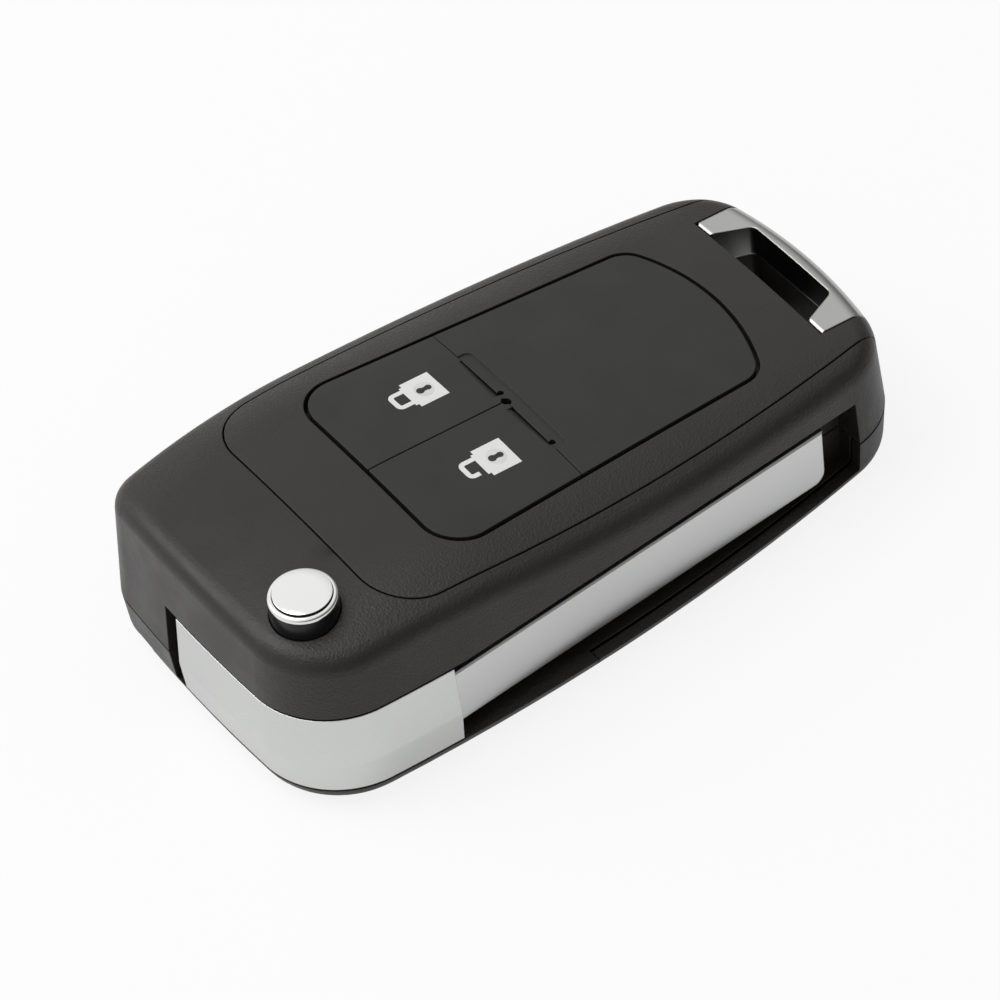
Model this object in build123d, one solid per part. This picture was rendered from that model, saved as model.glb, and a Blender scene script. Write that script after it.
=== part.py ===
"""Flip key remote: a folding vehicle key in a two button remote case.

The key lies on its back. X runs from the pivot end to the key ring end, the folded
blade lies in the side at -Y, the buttons face +Z. The origin is the middle of the
case's footprint, on the surface that it rests on. Millimetres throughout.
"""
from build123d import *
from math import asin, cos, degrees, hypot, radians, sin, sqrt, tan
import os

# Case outline at the parting plane, seen from above
CASE_LENGTH = 80.3
CASE_HALF_WIDTH = 20.7          # at the widest place
PIVOT_END_X = -CASE_LENGTH / 2
RING_END_X = CASE_LENGTH / 2
WIDEST_X = -4.0
PIVOT_HALF_WIDTH = CASE_HALF_WIDTH - 1.9    # where the side would meet the pivot end
RING_HALF_WIDTH = CASE_HALF_WIDTH - 4.2     # where the side would meet the ring end
PIVOT_END_BULGE = 0.9
RING_END_BULGE = 2.2
PIVOT_CORNER_NEAR = 10.3        # round the pivot, on the blade side
PIVOT_CORNER_FAR = 5.2
RING_CORNER = 8.6
STRAIGHT_BULGE = 0.1            # an end that looks straight

# Case side profile
CASE_HEIGHT = 21.5              # top of the case at X = 0
TOP_SLOPE = 6.15                # degrees, falls towards the ring end
NOSE_START_X = -14.0            # here the straight slope turns into the nose arc
NOSE_RADIUS = 82.0
CROWN_RADIUS = 160.0            # the top is slightly domed from side to side
SHOULDER_Y = 12.0               # from here it rolls off towards the sides
SHOULDER_RADIUS = 18.0
TOP_EDGE_RADIUS = 2.5
BOTTOM_EDGE_RADIUS = 3.4
PARTING_Z = CASE_HEIGHT - 14.5  # upper and lower shell meet here
DRAFT = 4.5                     # degrees, the walls lean in away from the parting plane

# Walls and gaps
WALL = 2.4
SEAM = 0.20                     # visible line between two fitted pieces
SLIP = 0.08                     # running clearance round a shaft or bore
FREE = 0.30                     # clearance between pieces that pass each other
SEAT = 0.02                     # fitted pieces that touch
BREAK = 0.25                    # softened edge of a moulded piece

# Front panel round the buttons
PANEL_THICK = 1.3
PANEL_SIDE_INSET = 3.35
PANEL_OVERRUN = 1.0             # its outline passes the ring end, so that it wraps over it
PANEL_PIVOT_X = PIVOT_END_X + 13.9
PANEL_PIVOT_CORNER = 6.0
PANEL_RING_CORNER = 1.0

# Button field: two buttons and a blank field
FIELD_PIVOT_X = PIVOT_END_X + 22.45
FIELD_PIVOT_HALF_WIDTH = CASE_HALF_WIDTH - 6.3
FIELD_WAIST_HALF_WIDTH = CASE_HALF_WIDTH - 7.35
FIELD_RING_X = RING_END_X - 13.15
FIELD_RING_HALF_WIDTH = CASE_HALF_WIDTH - 8.85
FIELD_RING_BULGE = 3.0
FIELD_PIVOT_CORNER = 4.6
FIELD_RING_CORNER = 3.4
FIELD_GAP = 0.48                # groove round the field
BUTTON_GAP = 0.16               # fine line between the two buttons
BLANK_GAP = 0.10                # line between the buttons and the blank field
BUTTON_THICK = 1.3
BUTTON_TRAVEL = 0.30
BUTTON_FLOAT = 0.38             # room under a button for its travel
INDICATOR_RADIUS = 0.55         # small round hole where the three fields meet
NOTCH_INNER_Y = 1.1             # scoops in the buttons, along the sunk band
NOTCH_OUTER_Y = FIELD_WAIST_HALF_WIDTH - 5.55
NOTCH_WIDTH = 1.05
NOTCH_DEPTH = 0.6
BAND_HALF_LENGTH = NOTCH_OUTER_Y + 0.75     # band sunk in the blank field
BAND_WIDTH = 1.5
BAND_DEPTH = 0.16
BAND_CORNER = 0.8
PIT_RADIUS = 0.34               # small holes at the near end of each scoop
POST_RADIUS = 1.6
POST_X = FIELD_PIVOT_X / 2 + 1.25
POST_Y = FIELD_WAIST_HALF_WIDTH / 2 - 0.5

# Key ring slot and its bright bar
RING_SLOT_X = RING_END_X - 7.55
RING_SLOT_WIDTH = 4.5           # along X, from the panel to the bar
BAR_HALF_LENGTH = RING_HALF_WIDTH - 5.9
RING_SLOT_PANEL_HALF = BAR_HALF_LENGTH - 2.2
RING_SLOT_BAR_HALF = BAR_HALF_LENGTH - 4.1
RING_SLOT_CORNER = 0.9
BAR_DEPTH = 3.8
BAR_BEVEL = 0.35
RING_WALL = 1.5                 # plastic between the inside and the ring slot

# Flip mechanism
PIVOT_X = PIVOT_END_X + 7.45
PIVOT_Y = 10.1 - CASE_HALF_WIDTH
FOLD_ANGLE = 2.2                # the folded blade leans in towards the ring end
TRIM_BOTTOM_Z = 3.0
TRIM_TOP_Z = 13.4
TRIM_THICK = 1.6
TRIM_SIDE_X = PIVOT_X + 10.7    # end of the bright collar on the blade side
TRIM_END_Y = PIVOT_Y + 14.8     # end of the bright collar on the pivot end
TRIM_END_GAP = 2.0              # room for the collar's end as it swings
HUB_RADIUS = 6.4
HUB_BORE_RADIUS = 4.1           # spring chamber
HUB_FLOOR = 1.6
HUB_STUB_RADIUS = 2.0           # stub on the lower shell that carries the hub
HUB_STUB_HEIGHT = 1.1
COLLAR_RIB = 1.3                # hub web behind the bright collar
BLADE_FACE_Y = -8.8             # outer face of the blade, from the pivot
BLADE_THICK = 2.6
BLADE_ROOT_X = 4.0              # from the pivot
BLADE_TANG_END_X = 10.3         # the tang lies inside the collar up to here
BLADE_TANG_STEP = 0.8           # the tang's outer face is set back
SLOT_END_X = RING_SLOT_X - 1.3  # end of the blade slot in the case
BLADE_TIP_X = SLOT_END_X - PIVOT_X - 4.3
BLADE_BOTTOM_Z = 4.2
BLADE_WIDTH = 7.3
BLADE_BEVEL = 0.2
BLADE_TIP_CORNER = 1.6
PIN_RADIUS = 0.8
PIN_X = 6.4
SLOT_SIDE_TOP_Z = 12.4          # roof of the blade slot at the blade
SLOT_MOUTH_RISE = 1.2           # the roof flares up towards the mouth
CHANNEL_WALL = 1.0              # wall between the blade slot and the inside
BAY_ROOF = 1.2                  # roof over the hub

# Release button
RELEASE_RADIUS = 3.62
RELEASE_TOP_Z = CASE_HEIGHT + 3.7
RELEASE_TRAVEL = 1.8
RELEASE_CAP_DEPTH = RELEASE_TRAVEL + 3.8
RELEASE_CAP_WALL = 0.7
RELEASE_CHAMFER = 0.42
RELEASE_DISH = 0.15             # groove round the inner disc
RELEASE_SHAFT_RADIUS = 2.6
RELEASE_FLANGE_RADIUS = 4.5
RELEASE_FLANGE_THICK = 1.2
RELEASE_FLANGE_TOP_Z = CASE_HEIGHT - 2.9
RELEASE_SHAFT_IN_HUB = 2.0
GUIDE_WALL = 1.6

# Flip spring
SPRING_WIRE_RADIUS = 0.4
SPRING_RADIUS = 3.1
SPRING_TURNS = 3.5

# Lower shell and battery cover
COVER_X = -5.0                  # pivot end of the battery cover
COVER_THICK = 1.3
TONGUE_THICK = 0.9
TONGUE_HEIGHT = 1.3

# Electronics
BOARD_BOTTOM_Z = CASE_HEIGHT - 10.9
BOARD_THICK = 1.0
BOARD_PIVOT_X = FIELD_PIVOT_X + 3.9
BOARD_RING_X = RING_SLOT_X - 2.6
BOARD_CLEAR = 0.5               # from the walls round it
PLUNGER_WELL = 1.4
SWITCH_SIZE = 5.2
SWITCH_HEIGHT = 2.6
PLUNGER_RADIUS = 1.3
PLUNGER_HEIGHT = 0.9
BATTERY_RADIUS = 10.0
BATTERY_THICK = 3.2
BATTERY_X = RING_SLOT_X - 18.1
BATTERY_Y = 1.8
BATTERY_BOTTOM_Z = BOARD_BOTTOM_Z - 4.6
BATTERY_STEP = 0.5
CONTACT_THICK = 0.2
CONTACT_WIDTH = 2.4
CONTACT_HOLE_RADIUS = 4.2
FRAME_WALL = 1.1
CHIP_X = BOARD_RING_X - 24.0
CHIP_Y = 4.5
CHIP_SIZE = 7.0
CHIP_THICK = 1.2
CHIP_LIFT = 0.15
CHIP_LEG = 1.1
CHIP_LEGS = 8
CHIP_PITCH = 0.8
CRYSTAL_X = BOARD_RING_X - 15.0
CRYSTAL_Y = 6.0
CRYSTAL_LENGTH = 8.0
CRYSTAL_WIDTH = 3.4
CRYSTAL_HEIGHT = 3.0
COIL_X = BOARD_RING_X - 5.5
COIL_Y = 2.5
COIL_LENGTH = 11.0
COIL_SIZE = 4.2
COIL_FLANGE = 1.0
CLAMP_RADIUS = 1.3              # pins of the upper shell that hold the board down
CLAMP_PLACES = ((BOARD_RING_X - 4, 11.5), (BOARD_RING_X - 4, -8.5), (CHIP_X - 3, -10.0))
TRANSPONDER_X = COVER_X - 8.0
TRANSPONDER_Y = CASE_HALF_WIDTH - 8.3
TRANSPONDER_LENGTH = 12.0
TRANSPONDER_WIDTH = 6.0
TRANSPONDER_THICK = 3.0
POCKET_RIB = 0.9                # low rib round the transponder

SLOT_FLOOR_Z = TRIM_BOTTOM_Z - FREE
BAY_TOP_Z = TRIM_TOP_Z + FREE
SWEEP_RADIUS = hypot(PIVOT_END_X - PIVOT_X, TRIM_END_Y - PIVOT_Y) + FREE
BOARD_TOP_Z = BOARD_BOTTOM_Z + BOARD_THICK
BATTERY_TOP_Z = BATTERY_BOTTOM_Z + BATTERY_THICK
FLANGE_ROOM_RADIUS = RELEASE_FLANGE_RADIUS + SLIP
HIGH = CASE_HEIGHT * 2


# Outlines seen from above: four bowed sides, each a circle, with rounded corners
def bow(first, middle, last):
    """Circle through three points of a side: x, y, radius. Negative for a hollow side."""
    (ax, ay), (bx, by), (cx, cy) = first, middle, last
    d = 2 * (ax * (by - cy) + bx * (cy - ay) + cx * (ay - by))
    a2, b2, c2 = ax * ax + ay * ay, bx * bx + by * by, cx * cx + cy * cy
    x = (a2 * (by - cy) + b2 * (cy - ay) + c2 * (ay - by)) / d
    y = (a2 * (cx - bx) + b2 * (ax - cx) + c2 * (bx - ax)) / d
    radius = hypot(bx - x, by - y)
    return (x, y, radius) if (bx - x) * bx + (by - y) * by > 0 else (x, y, -radius)


def corner_centre(first, second, radius, end):
    """Centre of the arc that touches two sides from inside, at the end with that sign."""
    near, far = abs(first[2] - radius), abs(second[2] - radius)
    dx, dy = second[0] - first[0], second[1] - first[1]
    apart = hypot(dx, dy)
    along = (apart ** 2 + near ** 2 - far ** 2) / (2 * apart)
    across = sqrt(near ** 2 - along ** 2)
    spots = []
    for sign in (-1, 1):
        spots.append((first[0] + (dx * along - sign * dy * across) / apart,
                      first[1] + (dy * along + sign * dx * across) / apart))
    return min([spot for spot in spots if spot[0] * end > 0], key=lambda spot: hypot(*spot))


def on_circle(circle, towards):
    reach = abs(circle[2]) / hypot(towards[0] - circle[0], towards[1] - circle[1])
    return (circle[0] + (towards[0] - circle[0]) * reach,
            circle[1] + (towards[1] - circle[1]) * reach)


def between(one, other):
    return ((one[0] + other[0]) / 2, (one[1] + other[1]) / 2)


def bowed_outline(side, pivot_end, ring_end, pivot_near, pivot_far, ring, inset=0.0):
    """Closed outline from the far side's circle, the two ends' circles and the corners."""
    near_side = (side[0], -side[1], side[2])
    sides = [(x, y, radius - inset) for x, y, radius in (ring_end, side, pivot_end, near_side)]
    arcs = []
    corners = ((ring, 1), (pivot_far, -1), (pivot_near, -1), (ring, 1))
    for index, (corner, end) in enumerate(corners):
        radius = max(corner - inset, BREAK)
        centre = corner_centre(sides[index], sides[(index + 1) % 4], radius, end)
        arcs.append((*centre, radius))
    with BuildSketch() as outline:
        with BuildLine():
            for index, circle in enumerate(sides):
                start, end = on_circle(circle, arcs[index - 1]), on_circle(circle, arcs[index])
                after = on_circle(sides[(index + 1) % 4], arcs[index])
                ThreePointArc(start, on_circle(circle, between(start, end)), end)
                ThreePointArc(end, on_circle(arcs[index], between(end, after)), after)
        make_face()
    return outline.sketch


def end_bow(x, bulge, half_width):
    """Circle of an end that stands at x in the middle and falls back by bulge."""
    back = x - bulge if x > 0 else x + bulge
    return bow((back, -half_width), (x, 0), (back, half_width))


PIVOT_END = end_bow(PIVOT_END_X, PIVOT_END_BULGE, PIVOT_HALF_WIDTH)
RING_END = end_bow(RING_END_X, RING_END_BULGE, RING_HALF_WIDTH)
CASE_SIDE = bow((PIVOT_END_X + PIVOT_END_BULGE, PIVOT_HALF_WIDTH),
                (WIDEST_X, CASE_HALF_WIDTH),
                (RING_END_X - RING_END_BULGE, RING_HALF_WIDTH))


def case_outline(inset=0.0):
    return bowed_outline(CASE_SIDE, PIVOT_END, RING_END, PIVOT_CORNER_NEAR,
                         PIVOT_CORNER_FAR, RING_CORNER, inset)


def top_form(inset=0.0):
    """Everything under the domed top, which slopes and then noses over."""
    slope = radians(TOP_SLOPE)
    normal = Vector(sin(slope), 0, cos(slope))
    along = Vector(cos(slope), 0, -sin(slope))
    middle = Vector(0, 0, CASE_HEIGHT) - normal * inset
    start = middle + along * CASE_LENGTH
    turn = middle + along * (NOSE_START_X / cos(slope))
    radius = NOSE_RADIUS - inset
    centre = turn - normal * radius
    with BuildLine(Plane.XZ) as path:
        Line((start.X, start.Z), (turn.X, turn.Z))
        CenterArc((centre.X, centre.Z), radius, 90 - TOP_SLOPE, 40)
    crown_y = inset - CROWN_RADIUS
    flat = asin(SHOULDER_Y / CROWN_RADIUS)
    to_shoulder = CROWN_RADIUS - SHOULDER_RADIUS
    shoulder_y = crown_y + to_shoulder * cos(flat)
    turn_angle = degrees(flat)
    with BuildSketch(Plane(origin=start, x_dir=(0, 1, 0), z_dir=along)) as section:
        with BuildLine():
            CenterArc((0, crown_y), -crown_y, 90 - turn_angle, 2 * turn_angle)
            left = CenterArc((-to_shoulder * sin(flat), shoulder_y), SHOULDER_RADIUS - inset,
                             90 + turn_angle, 50)
            right = CenterArc((to_shoulder * sin(flat), shoulder_y), SHOULDER_RADIUS - inset,
                              90 - turn_angle, -50)
            Polyline(left @ 1, ((left @ 1).X, -HIGH), ((right @ 1).X, -HIGH), right @ 1)
        make_face()
    return sweep(section.sketch, path=path.line)


def envelope(inset=0.0):
    """The whole case as one closed form, shrunk by inset all round."""
    outline = case_outline(inset)
    upper = Pos(0, 0, PARTING_Z) * extrude(outline, CASE_HEIGHT, taper=DRAFT)
    lower = extrude(outline, PARTING_Z - inset, taper=DRAFT).mirror(Plane.XY)
    form = ((upper & top_form(inset)) + Pos(0, 0, PARTING_Z) * lower).solids()[0]
    top_faces = [f for f in form.faces() if f.normal_at(f.center()).Z > 0.7]
    top_edges = [e for f in top_faces for e in f.edges()]
    rim = [e for e in top_edges if sum(e.is_same(other) for other in top_edges) == 1]
    form = fillet(rim, max(TOP_EDGE_RADIUS - inset, BREAK))
    floor_edges = form.faces().sort_by(Axis.Z)[0].edges()
    return fillet(floor_edges, max(BOTTOM_EDGE_RADIUS - inset, BREAK))


def slab(bottom, top, x_from=-CASE_LENGTH, x_to=CASE_LENGTH, y_from=-CASE_LENGTH,
         y_to=CASE_LENGTH):
    """Plain block between two heights."""
    block = Box(x_to - x_from, y_to - y_from, top - bottom,
                align=(Align.MIN, Align.MIN, Align.MIN))
    return Pos(x_from, y_from, bottom) * block


def column(sketch, bottom, top):
    return Pos(0, 0, bottom) * extrude(sketch, top - bottom)


def rod(x, y, radius, bottom, top):
    return Pos(x, y, bottom) * Cylinder(
        radius, top - bottom, align=(Align.CENTER, Align.CENTER, Align.MIN))


def biggest(shape):
    return shape.solids().sort_by(SortBy.VOLUME)[-1]


OUTER = envelope()
INNER = envelope(WALL)
INNER_FIT = envelope(WALL + SLIP)
UNDER_PANEL = envelope(PANEL_THICK)


# Outlines that several pieces share
def panel_outline(grow=0.0):
    side = (CASE_SIDE[0], CASE_SIDE[1], CASE_SIDE[2] - PANEL_SIDE_INSET)
    ring_end = (RING_END[0], RING_END[1], RING_END[2] + PANEL_OVERRUN)
    pivot_end = end_bow(PANEL_PIVOT_X, STRAIGHT_BULGE, CASE_HALF_WIDTH)
    return bowed_outline(side, pivot_end, ring_end, PANEL_PIVOT_CORNER,
                         PANEL_PIVOT_CORNER, PANEL_RING_CORNER, -grow)


def field_outline(shrink=0.0):
    side = bow((FIELD_PIVOT_X, FIELD_PIVOT_HALF_WIDTH), (0, FIELD_WAIST_HALF_WIDTH),
               (FIELD_RING_X, FIELD_RING_HALF_WIDTH))
    pivot_end = end_bow(FIELD_PIVOT_X, STRAIGHT_BULGE, FIELD_PIVOT_HALF_WIDTH)
    ring_end = end_bow(FIELD_RING_X, FIELD_RING_BULGE, FIELD_RING_HALF_WIDTH)
    return bowed_outline(side, pivot_end, ring_end, FIELD_PIVOT_CORNER,
                         FIELD_PIVOT_CORNER, FIELD_RING_CORNER, shrink)


def ring_slot_outline():
    far_x = RING_SLOT_X + RING_SLOT_WIDTH
    with BuildSketch() as outline:
        with BuildLine():
            Polyline((RING_SLOT_X, -RING_SLOT_PANEL_HALF), (far_x, -RING_SLOT_BAR_HALF),
                     (far_x, RING_SLOT_BAR_HALF), (RING_SLOT_X, RING_SLOT_PANEL_HALF),
                     close=True)
        make_face()
        fillet(outline.vertices().sort_by(Axis.X)[-2:], RING_SLOT_CORNER)
    return outline.sketch


def bar_outline(grow=0.0):
    """U round the ring slot, from its two tips to the ring end."""
    with BuildSketch() as outline:
        with Locations((RING_SLOT_X - grow, 0)):
            Rectangle(RING_END_X, 2 * (BAR_HALF_LENGTH + grow),
                      align=(Align.MIN, Align.CENTER))
    return outline.sketch


def at_pivot(shape):
    """Place a shape that is drawn round the pivot with the blade along X."""
    return Pos(PIVOT_X, PIVOT_Y, 0) * (Rot(0, 0, FOLD_ANGLE) * shape)


RING_SLOT = column(ring_slot_outline(), -HIGH, HIGH)
BAR_BOTTOM_Z = CASE_HEIGHT - tan(radians(TOP_SLOPE)) * RING_END_X - BAR_DEPTH


# Room that the flip mechanism needs in the case
def swing_room():
    """Disc that the hub and its collar sweep."""
    return rod(PIVOT_X, PIVOT_Y, SWEEP_RADIUS, SLOT_FLOOR_Z, BAY_TOP_Z)


def blade_room():
    """Slot for the folded blade, flared at its mouth."""
    inner_y = BLADE_FACE_Y + BLADE_THICK + FREE
    reach = BLADE_FACE_Y - CASE_HALF_WIDTH
    mouth_rise = SLOT_MOUTH_RISE * (inner_y - reach)
    with BuildSketch(Plane.YZ) as section:
        with BuildLine():
            Polyline((inner_y, SLOT_FLOOR_Z), (inner_y, SLOT_SIDE_TOP_Z),
                     (BLADE_FACE_Y, SLOT_SIDE_TOP_Z),
                     (reach, SLOT_SIDE_TOP_Z + mouth_rise), (reach, SLOT_FLOOR_Z),
                     close=True)
        make_face()
    length = SLOT_END_X - PIVOT_X
    return at_pivot(extrude(section.sketch, length))


def corner_opening():
    """Cut-out of the case's corner, filled by the bright collar."""
    end_y = TRIM_END_Y + TRIM_END_GAP
    side = slab(SLOT_FLOOR_Z, BAY_TOP_Z, x_to=TRIM_SIDE_X + FREE, y_to=PIVOT_Y)
    end = slab(SLOT_FLOOR_Z, BAY_TOP_Z, x_to=PIVOT_X, y_to=end_y)
    return side + end


def mechanism_room():
    return swing_room() + blade_room() + corner_opening()


def bay_wall(bottom, top, slot_top, clear=0.0):
    """Wall that keeps the swing room and blade slot apart from the electronics."""
    ring = rod(PIVOT_X, PIVOT_Y, SWEEP_RADIUS + CHANNEL_WALL + clear, bottom, top)
    inner_y = BLADE_FACE_Y + BLADE_THICK + FREE + CHANNEL_WALL + clear
    strip = slab(bottom, slot_top, 0, SLOT_END_X - PIVOT_X + CHANNEL_WALL + clear,
                 y_to=inner_y)
    return ring + at_pivot(strip)


def guide_hole(radius, bottom):
    return rod(PIVOT_X, PIVOT_Y, radius, bottom, HIGH)


# Upper shell
def make_upper_case():
    above = slab(PARTING_Z, HIGH)
    shell = (OUTER - INNER) & above
    bay_block = bay_wall(PARTING_Z, BAY_TOP_Z + BAY_ROOF, SLOT_SIDE_TOP_Z + BAY_ROOF) & INNER
    ring_block = slab(PARTING_Z, HIGH, RING_SLOT_X - RING_WALL) & INNER
    guide = rod(PIVOT_X, PIVOT_Y, FLANGE_ROOM_RADIUS + GUIDE_WALL,
                BAY_TOP_Z, HIGH) & INNER
    case = shell + bay_block + ring_block + guide
    for x, y in CLAMP_PLACES:
        case += rod(x, y, CLAMP_RADIUS, BOARD_TOP_Z + SEAT, HIGH) & INNER
    panel_bed = (OUTER - UNDER_PANEL) & column(panel_outline(SEAM), BAR_BOTTOM_Z - SEAM, HIGH)
    case -= panel_bed
    case -= column(bar_outline(SEAT), BAR_BOTTOM_Z - SEAT, HIGH)
    case -= RING_SLOT
    case -= mechanism_room()
    case -= guide_hole(RELEASE_RADIUS + SLIP, RELEASE_FLANGE_TOP_Z)
    case -= rod(PIVOT_X, PIVOT_Y, FLANGE_ROOM_RADIUS, BAY_TOP_Z - 1,
                RELEASE_FLANGE_TOP_Z + SLIP)
    button_bed = OUTER - envelope(BUTTON_THICK + BUTTON_FLOAT)
    button_bed &= column(field_outline(), PARTING_Z, HIGH)
    case -= button_bed & slab(PARTING_Z, HIGH, -CASE_LENGTH, 0)
    for side in (-1, 1):
        case -= rod(POST_X, side * POST_Y, POST_RADIUS + FREE, PARTING_Z, HIGH)
    return biggest(case)


def make_button_panel():
    skin = (OUTER - UNDER_PANEL) & column(panel_outline(), BAR_BOTTOM_Z, HIGH)
    skin -= column(field_outline(), 0, HIGH)
    skin -= column(bar_outline(SEAM), 0, HIGH)
    return biggest(skin)


# Fields inside the panel
def field_piece(region):
    """Part of the button field with the case's own top surface."""
    plate = OUTER - envelope(BUTTON_THICK)
    plate &= column(field_outline(FIELD_GAP), PARTING_Z, HIGH)
    plate = plate & region
    plate -= rod(0, 0, INDICATOR_RADIUS, 0, HIGH)
    return biggest(plate)


def field_surface_z(x):
    return CASE_HEIGHT - x * tan(radians(TOP_SLOPE))


def make_button(side):
    near, far = sorted((side * BUTTON_GAP / 2, side * CASE_HALF_WIDTH))
    cap = field_piece(slab(0, HIGH, FIELD_PIVOT_X, -BLANK_GAP / 2, near, far))
    low, high = sorted((side * NOTCH_INNER_Y, side * NOTCH_OUTER_Y))
    edge_z = field_surface_z(-NOTCH_WIDTH)
    with BuildSketch(Plane.XZ.offset(-high)) as section:
        with BuildLine():
            TangentArc((-NOTCH_WIDTH, edge_z), (0, edge_z - NOTCH_DEPTH),
                       tangent=(cos(radians(TOP_SLOPE)), -sin(radians(TOP_SLOPE))))
            Polyline((0, edge_z - NOTCH_DEPTH), (0, edge_z + 1), (-NOTCH_WIDTH, edge_z + 1),
                     (-NOTCH_WIDTH, edge_z))
        make_face()
    cap -= extrude(section.sketch, high - low)
    post_bottom = BOARD_TOP_Z + SWITCH_HEIGHT + PLUNGER_HEIGHT + SEAT
    post = rod(POST_X, side * POST_Y, POST_RADIUS, post_bottom, field_surface_z(POST_X) - 1)
    return biggest(cap + post)


def make_blank_field():
    plate = field_piece(slab(0, HIGH, BLANK_GAP / 2, FIELD_RING_X))
    with BuildSketch() as band:
        Rectangle(2 * BAND_WIDTH, 2 * BAND_HALF_LENGTH)
        fillet(band.vertices(), BAND_CORNER)
    plate -= column(band.sketch, 0, HIGH) - top_form(BAND_DEPTH)
    for scoop_end_y in (NOTCH_INNER_Y, -NOTCH_OUTER_Y):
        plate -= rod(PIT_RADIUS, scoop_end_y + PIT_RADIUS, PIT_RADIUS, 0, HIGH)
    return biggest(plate)


def make_key_ring_bar():
    block = biggest((OUTER & column(bar_outline(), BAR_BOTTOM_Z, HIGH)) - RING_SLOT)
    tips = [e for e in block.edges() if abs(e.center().X - RING_SLOT_X) < SEAT
            and e.center().Z > BAR_BOTTOM_Z + BAR_DEPTH]
    return chamfer(tips, BAR_BEVEL)


# Flip mechanism
def collar_region():
    """Where the bright collar lies: blade side and pivot end of the corner."""
    side = slab(TRIM_BOTTOM_Z, TRIM_TOP_Z, x_to=TRIM_SIDE_X, y_to=PIVOT_Y)
    end = slab(TRIM_BOTTOM_Z, TRIM_TOP_Z, x_to=PIVOT_X, y_to=TRIM_END_Y)
    return side + end


def make_hub_trim():
    band = OUTER - column(case_outline(TRIM_THICK), 0, HIGH)
    return biggest((band & collar_region()) - blade_solid(SEAT))


def make_blade_hub():
    core = rod(PIVOT_X, PIVOT_Y, HUB_RADIUS, TRIM_BOTTOM_Z, TRIM_TOP_Z)
    inside = column(case_outline(TRIM_THICK + SEAT), TRIM_BOTTOM_Z, TRIM_TOP_Z)
    web = inside - column(case_outline(TRIM_THICK + COLLAR_RIB), 0, HIGH)
    web &= collar_region()
    corner = slab(TRIM_BOTTOM_Z, TRIM_TOP_Z, x_to=TRIM_SIDE_X - TRIM_THICK,
                  y_to=PIVOT_Y) & inside
    hub = (core & inside) + web + corner
    hub -= blade_solid(SEAT)
    hub -= guide_hole(HUB_BORE_RADIUS, TRIM_BOTTOM_Z + HUB_FLOOR)
    hub -= rod(PIVOT_X, PIVOT_Y, HUB_STUB_RADIUS + SLIP, 0,
               SLOT_FLOOR_Z + HUB_STUB_HEIGHT + FREE)
    hub -= pin_solid(SEAT)
    return biggest(hub)


def blade_solid(grow=0.0):
    bottom, top = BLADE_BOTTOM_Z - grow, BLADE_BOTTOM_Z + BLADE_WIDTH + grow
    inner_y = BLADE_FACE_Y + BLADE_THICK + grow
    blank = slab(bottom, top, BLADE_TANG_END_X - grow, BLADE_TIP_X,
                 BLADE_FACE_Y - grow, inner_y)
    tang = slab(bottom, top, BLADE_ROOT_X - grow, BLADE_TANG_END_X,
                BLADE_FACE_Y + BLADE_TANG_STEP - grow, inner_y)
    return at_pivot(blank + tang)


def pin_solid(grow=0.0):
    pin_y = BLADE_FACE_Y + BLADE_THICK
    pin = Pos(PIN_X, pin_y, TRIM_BOTTOM_Z) * Cylinder(
        PIN_RADIUS + grow, TRIM_TOP_Z - TRIM_BOTTOM_Z,
        align=(Align.CENTER, Align.CENTER, Align.MIN))
    return at_pivot(pin)


def make_key_blade():
    blank = slab(BLADE_BOTTOM_Z, BLADE_BOTTOM_Z + BLADE_WIDTH, BLADE_ROOT_X, BLADE_TIP_X,
                 BLADE_FACE_Y, BLADE_FACE_Y + BLADE_THICK)
    tip = blank.edges().filter_by(Axis.Y).group_by(Axis.X)[-1]
    blank = fillet(tip.sort_by(Axis.Z)[0], BLADE_TIP_CORNER)
    long_edges = blank.edges().filter_by(Axis.X).group_by(Axis.Y)[0]
    blank = chamfer(long_edges, BLADE_BEVEL)
    blank -= slab(0, HIGH, 0, BLADE_TANG_END_X, BLADE_FACE_Y - 1,
                  BLADE_FACE_Y + BLADE_TANG_STEP)
    notch = Pos(PIN_X, BLADE_FACE_Y + BLADE_THICK, 0) * Cylinder(PIN_RADIUS + SEAT, HIGH)
    return biggest(at_pivot(blank - notch))


def make_blade_pin():
    return biggest(pin_solid())


# Release button and its shaft
def make_release_button():
    bottom = RELEASE_TOP_Z - RELEASE_CAP_DEPTH
    cap = rod(PIVOT_X, PIVOT_Y, RELEASE_RADIUS, bottom, RELEASE_TOP_Z)
    cap = chamfer(cap.edges().sort_by(Axis.Z)[-1], RELEASE_CHAMFER)
    disc = RELEASE_RADIUS - RELEASE_CHAMFER
    groove = rod(PIVOT_X, PIVOT_Y, disc, RELEASE_TOP_Z - RELEASE_DISH, HIGH)
    groove -= rod(PIVOT_X, PIVOT_Y, disc - RELEASE_DISH, 0, HIGH)
    cap -= groove
    cap -= rod(PIVOT_X, PIVOT_Y, RELEASE_RADIUS - RELEASE_CAP_WALL, bottom,
               RELEASE_TOP_Z - RELEASE_CAP_WALL)
    return biggest(cap)


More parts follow.
